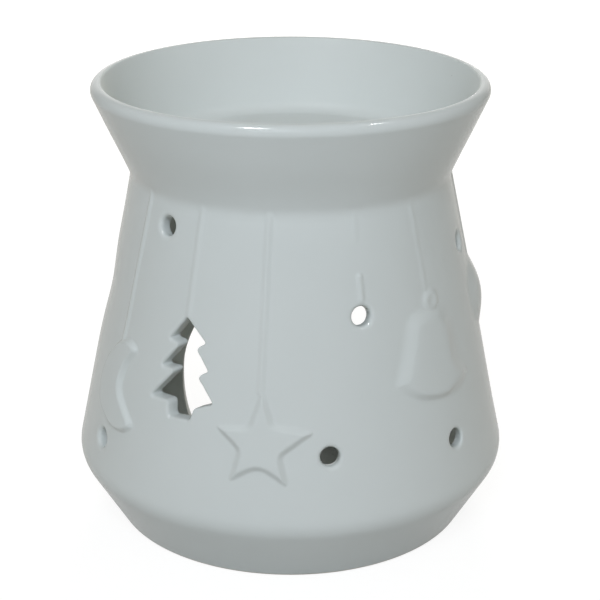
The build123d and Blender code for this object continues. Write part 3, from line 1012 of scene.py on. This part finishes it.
def turnedMesh(name, line, columns, ripple=None):
    # a line of radius and height turned once round the tealight's axis; ends on the axis close in a fan
    verts, rings, faces = [], [], []
    for radius, height in line:
        first = len(verts)
        if radius == 0:
            verts.append((0, tealightBack, height))
            rings.append([first] * columns)
            continue
        for i in range(columns):
            angle = 2 * math.pi * i / columns
            wide = radius + (ripple(angle, radius, height) if ripple else 0)
            verts.append((wide * math.sin(angle), tealightBack - wide * math.cos(angle), height))
        rings.append(list(range(first, first + columns)))
    closed = line[0][0] > 0
    for k in range(len(rings) - (0 if closed else 1)):
        low, high = rings[k], rings[(k + 1) % len(rings)]
        for i in range(columns):
            j = (i + 1) % columns
            corners = list(dict.fromkeys((low[i], low[j], high[j], high[i])))
            if len(corners) > 2:
                faces.append(corners)
    mesh = bpy.data.meshes.new(name)
    mesh.from_pydata([tuple(c * mm for c in v) for v in verts], [], faces)
    mesh.polygons.foreach_set("use_smooth", [True] * len(faces))
    shape = bmesh.new()
    shape.from_mesh(mesh)
    bmesh.ops.recalc_face_normals(shape, faces=shape.faces)
    shape.to_mesh(mesh)
    shape.free()
    return mesh


def arc(centreRadius, centreHeight, reach, start, end, steps):
    angles = [math.radians(start + (end - start) * i / steps) for i in range(steps + 1)]
    return [(centreRadius + reach * math.cos(a), centreHeight + reach * math.sin(a)) for a in angles]


cupSettings = {
    "low": 4.1, "floor": 4.4, "wallRadius": 18.72, "foil": 0.12, "corner": 1.3, "cornerSteps": 6,
    "floorRings": [8, 15], "wallRings": [5.8, 6.4, 7.0, 9.0, 12.0, 15.0, 17.4, 18.0, 18.6, 19.1],
    "beadHeight": 19.78, "beadRadius": 0.31, "beadOut": 0.03, "beadArc": (-78, 258), "beadSteps": 14,
    "columns": 240, "flutes": 60, "fluteDepth": 0.09,
    "fluteRadii": (17.9, 18.5), "fluteStart": (5.2, 7.0), "fluteEnd": (17.6, 19.2),      # where they fade
}
cup = cupSettings


def fluted(angle, radius, height):
    # fine pressed flutes that fade out towards the floor and the rolled rim
    wall = smoothRamp(*cup["fluteRadii"], radius) * smoothRamp(*cup["fluteStart"], height)
    wall *= 1 - smoothRamp(*cup["fluteEnd"], height)
    return cup["fluteDepth"] * 0.5 * (1 + math.cos(cup["flutes"] * angle)) * float(wall)


def floorCorner(radius, height, start, end):
    # the rounding between a wall and a floor
    return arc(radius - cup["corner"], height + cup["corner"], cup["corner"], start, end, cup["cornerSteps"])


cupInner = cup["wallRadius"] - cup["foil"]
cupLine = [(0, cup["low"])] + [(ring, cup["low"]) for ring in cup["floorRings"]]
cupLine += floorCorner(cup["wallRadius"], cup["low"], -90, 0)
cupLine += [(cup["wallRadius"], height) for height in cup["wallRings"]]
cupLine += arc(cup["wallRadius"] - cup["foil"] / 2 + cup["beadOut"], cup["beadHeight"], cup["beadRadius"],
               *cup["beadArc"], cup["beadSteps"])
cupLine += [(cupInner, height) for height in cup["wallRings"][::-1]]
cupLine += floorCorner(cupInner, cup["floor"], 0, -90)
cupLine += [(ring, cup["floor"]) for ring in cup["floorRings"][::-1]] + [(0, cup["floor"])]
cupPiece = addPiece("foilCup", turnedMesh("foilCup", cupLine, cup["columns"], fluted))
cupPiece.data.materials.append(foil)
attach(cupPiece, "tealight")
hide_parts("tealight_cup")

waxSettings = {
    "low": 4.45, "radius": 18.58, "level": 16.85, "columns": 96, "bottomRing": 12, "sideRings": [9.0, 13.0],
    # it keeps the sockets of the tab, its neck and the wick
    "tabRadius": 6.55, "tabTop": 4.8, "neckRadius": 1.65, "neckTop": 9.5, "wickRadius": 1.05, "wickRing": 13,
    # it climbs at foil and wick: how high, how far out it still counts, how fast it falls off, and steps
    "foilClimb": (0.35, 3.2, 0.6, 8), "wickClimb": (0.315, 2.4, 0.5, 6),
    "sag": [(13, 0.03), (10, 0.05), (7, 0.06), (4.5, 0.03)],     # radius, and how far below its level
}
wax = waxSettings


def climb(rise, reach, fall, steps):
    # distances from the wall that the wax climbs, and how far above its level it stands there
    distances = [(k / steps) ** 2 * reach for k in range(steps + 1)]
    return [(distance, rise * math.exp(-distance / fall)) for distance in distances]


waxLine = [(wax["tabRadius"], wax["low"]), (wax["bottomRing"], wax["low"])]
waxLine += floorCorner(wax["radius"], wax["low"], -90, 0)
waxLine += [(wax["radius"], height) for height in wax["sideRings"]]
waxLine += [(wax["radius"] - away, wax["level"] + rise) for away, rise in climb(*wax["foilClimb"])]
waxLine += [(ring, wax["level"] - sag) for ring, sag in wax["sag"]]
waxLine += [(wax["wickRadius"] + away, wax["level"] + rise) for away, rise in climb(*wax["wickClimb"])[::-1]]
waxLine += [(wax["wickRadius"], wax["wickRing"]), (wax["wickRadius"], wax["neckTop"])]
waxLine += [(wax["neckRadius"], wax["neckTop"]), (wax["neckRadius"], wax["tabTop"])]
waxLine += [(wax["tabRadius"], wax["tabTop"])]
waxPiece = addPiece("wax", turnedMesh("wax", waxLine, wax["columns"]))
waxPiece.data.materials.append(paraffin)
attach(waxPiece, "tealight")
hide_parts("tealight_wax")

# the steel tab keeps its CAD shape, with tinplate for its finish
tabPiece = bpy.data.objects["wick_tab"]
tabPiece.material_slots[0].material = tin
print("cup, wax and tab made")


# Wick: eight strands, four wound each way, each running over and under the others

wickSettings = {
    "low": 4.8, "high": 25.1, "endRoom": 0.3,    # the paths stop short of the wick's ends
    "strands": 4, "strandRadius": 0.27, "strandSides": 8, "turns": 4.5, "pathSteps": 90,
    "wound": 0.5, "weave": 0.12,                 # a path's radius, and how far it weaves in and out
}
wick = wickSettings


def buildBraidTree():
    # strand paths become round strands, repeated evenly round the wick
    inputs = [("Strands", "Int"), ("Strand Radius", "Float"), ("Centre", "Vector"), ("Cotton", "Material")]
    tree, given = newTree("braidedWick", inputs)
    path = addNode(tree, "GeometryNodeMeshToCurve", None, {"Mesh": given.outputs["Geometry"]})
    ring = addNode(tree, "GeometryNodeCurvePrimitiveCircle", {"Resolution": wick["strandSides"]},
                   {"Radius": given.outputs["Strand Radius"]})
    strand = addNode(tree, "GeometryNodeCurveToMesh", {"Fill Caps": True},
                     {"Curve": path.outputs[0], "Profile Curve": ring.outputs[0]})
    places = addNode(tree, "GeometryNodeMeshLine", {"Offset": (0, 0, 0)},
                     {"Count": given.outputs["Strands"], "Start Location": given.outputs["Centre"]})
    step = addNode(tree, "ShaderNodeMath", {"operation": "DIVIDE", 0: 2 * math.pi},
                   {1: given.outputs["Strands"]})
    index = addNode(tree, "GeometryNodeInputIndex")
    angle = addNode(tree, "ShaderNodeMath", {"operation": "MULTIPLY"},
                    {0: index.outputs[0], 1: step.outputs[0]})
    turn = addNode(tree, "ShaderNodeCombineXYZ", None, {"Z": angle.outputs[0]})
    copies = addNode(tree, "GeometryNodeInstanceOnPoints", None,
                     {"Points": places.outputs[0], "Instance": strand.outputs[0],
                      "Rotation": turn.outputs[0]})
    finishTree(tree, copies.outputs[0], given.outputs["Cotton"])
    return tree


strandVerts, strandEdges = [], []
pathLow, pathLength = wick["low"] + wick["endRoom"], wick["high"] - wick["low"] - 2 * wick["endRoom"]
for way in (1, -1):
    for k in range(wick["pathSteps"] + 1):
        share = k / wick["pathSteps"]
        angle = way * 2 * math.pi * wick["turns"] * share
        # strands of the two ways cross eight times a turn, over and under by turns
        reach = wick["wound"] + way * wick["weave"] * math.cos(wick["strands"] * angle)
        place = (reach * math.cos(angle), reach * math.sin(angle), pathLow + share * pathLength)
        strandVerts.append([c * mm for c in place])
        if k:
            strandEdges.append((len(strandVerts) - 2, len(strandVerts) - 1))
wickMesh = bpy.data.meshes.new("wickPaths")
wickMesh.from_pydata(strandVerts, strandEdges, [])
wickPiece = addPiece("braidedWick", wickMesh)
runTree(wickPiece, buildBraidTree(), {"Strands": wick["strands"], "Strand Radius": wick["strandRadius"] * mm,
                                      "Centre": (0.0, tealightBack * mm, 0.0), "Cotton": cotton})
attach(wickPiece, "tealight")
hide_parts("wick")
print("wick braided:", len(wickPiece.data.polygons), "faces")


# Floor, light and background

stageSettings = {
    "floorSize": 3.0, "floorDrop": 0.0001, "aimHeight": 0.07,    # metres
    # white paper: its own colour, its glow, and the shares of it that are shown and then mirrored
    "paper": "#BCBCBA", "paperRoughness": 0.9, "glow": 1.42, "glowShare": 0.62, "mirroredShare": 0.4,
    # the room lights the pot, and the backdrop is only seen and mirrored
    "roomTint": "#FFFBF1", "roomLevel": 0.325, "backdropTint": "#FFFFFF", "backdropLevel": 1.0,
    "backdropFrom": 0.8, "backdropFull": 0.98,                   # how squarely behind the pot it stands
}
# turn from the front, height above level, distance, width, power, colour, and what each lights: body, gloss
lampSettings = {
    "key": (-7, 38, 0.9, 0.4, 4.3, "#ECF4FF", True, False),      # soft, without a hot spot in the dish
    "back": (176, 14, 0.9, 0.3, 5.2, "#FFFAF2", True, False),    # reaches into the chamber through the arch
    "window": (-32, 62, 0.9, 0.13, 2.4, "#FFFFFF", False, True),     # glints on lip, mouths and figures
    "sideWindow": (80, 62, 0.9, 0.06, 0.9, "#FFFFFF", False, True),
}
stage = stageSettings


def backdropRays(tree, share, mask=None):
    # the camera's rays, and as much as is asked of those that are mirrored or go through glass
    rays = addNode(tree, "ShaderNodeLightPath")
    mirrored = addNode(tree, "ShaderNodeMath", {"operation": "MAXIMUM"},
                       {0: rays.outputs["Is Glossy Ray"], 1: rays.outputs["Is Transmission Ray"]})
    links = {0: mirrored.outputs[0], 1: mask} if mask else {0: mirrored.outputs[0]}
    weighed = addNode(tree, "ShaderNodeMath", {"operation": "MULTIPLY", 1: share}, links)
    seen = addNode(tree, "ShaderNodeMath", {"operation": "MAXIMUM"},
                   {0: rays.outputs["Is Camera Ray"], 1: weighed.outputs[0]})
    return seen.outputs[0]


floorMesh = bpy.data.meshes.new("floor")
half, low = stage["floorSize"] / 2, -stage["floorDrop"]
corners = [(-half, -half, low), (half, -half, low), (half, half, low), (-half, half, low)]
floorMesh.from_pydata(corners, [], [(0, 1, 2, 3)])
floor = addPiece("floor", floorMesh)
paper, tree, shader = newMaterial("whitePaper")
shader.inputs["Base Color"].default_value = hexColour(stage["paper"])
shader.inputs["Roughness"].default_value = stage["paperRoughness"]
share = addNode(tree, "ShaderNodeMath", {"operation": "MULTIPLY", 1: stage["glowShare"]},
                {0: backdropRays(tree, stage["mirroredShare"])})
glow = addNode(tree, "ShaderNodeEmission", {"Color": (1, 1, 1, 1), "Strength": stage["glow"]})
mixed = addNode(tree, "ShaderNodeMixShader", None,
                {0: share.outputs[0], 1: shader.outputs[0], 2: glow.outputs[0]})
tree.links.new(mixed.outputs[0], tree.nodes["Material Output"].inputs["Surface"])
floorMesh.materials.append(paper)

world = bpy.data.worlds.new("studio")
bpy.context.scene.world = world
world.use_nodes = True
tree = world.node_tree
# the white backdrop stands behind the pot; gloss and foil mirror it there, and the plain room elsewhere
towards = addNode(tree, "ShaderNodeTexCoord").outputs["Generated"]
direction = addNode(tree, "ShaderNodeSeparateXYZ", None, {0: towards})
behind = addNode(tree, "ShaderNodeMapRange", {
    "From Min": stage["backdropFrom"], "From Max": stage["backdropFull"]}, {"Value": direction.outputs["Y"]})
seen = backdropRays(tree, 1.0, behind.outputs[0])
level = addNode(tree, "ShaderNodeMapRange", {
    "To Min": stage["roomLevel"], "To Max": stage["backdropLevel"]}, {"Value": seen})
room = addNode(tree, "ShaderNodeMix", {
    "data_type": "RGBA", 6: hexColour(stage["roomTint"]), 7: hexColour(stage["backdropTint"])}, {0: seen})
sky = tree.nodes["Background"]
tree.links.new(room.outputs[2], sky.inputs["Color"])
tree.links.new(level.outputs[0], sky.inputs["Strength"])


def addLamp(name):
    turn, above, distance, width, power, colour, lightsBody, lightsGloss = lampSettings[name]
    turn, above = math.radians(turn), math.radians(above)
    target = Vector((0, 0, stage["aimHeight"]))
    away = Vector((math.cos(above) * math.sin(turn), -math.cos(above) * math.cos(turn), math.sin(above)))
    lamp = bpy.data.lights.new(name, "AREA")
    lamp.shape = "DISK"
    lamp.size = width
    lamp.energy = power
    lamp.color = hexColour(colour)[:3]
    holder = bpy.data.objects.new(name, lamp)
    holder.location = target + away * distance
    holder.rotation_euler = (-away).to_track_quat("-Z", "Y").to_euler()
    holder.visible_diffuse, holder.visible_glossy = lightsBody, lightsGloss
    bpy.context.collection.objects.link(holder)


for name in lampSettings:
    addLamp(name)
bpy.context.scene.view_settings.view_transform = "Standard"
print("stage lit")
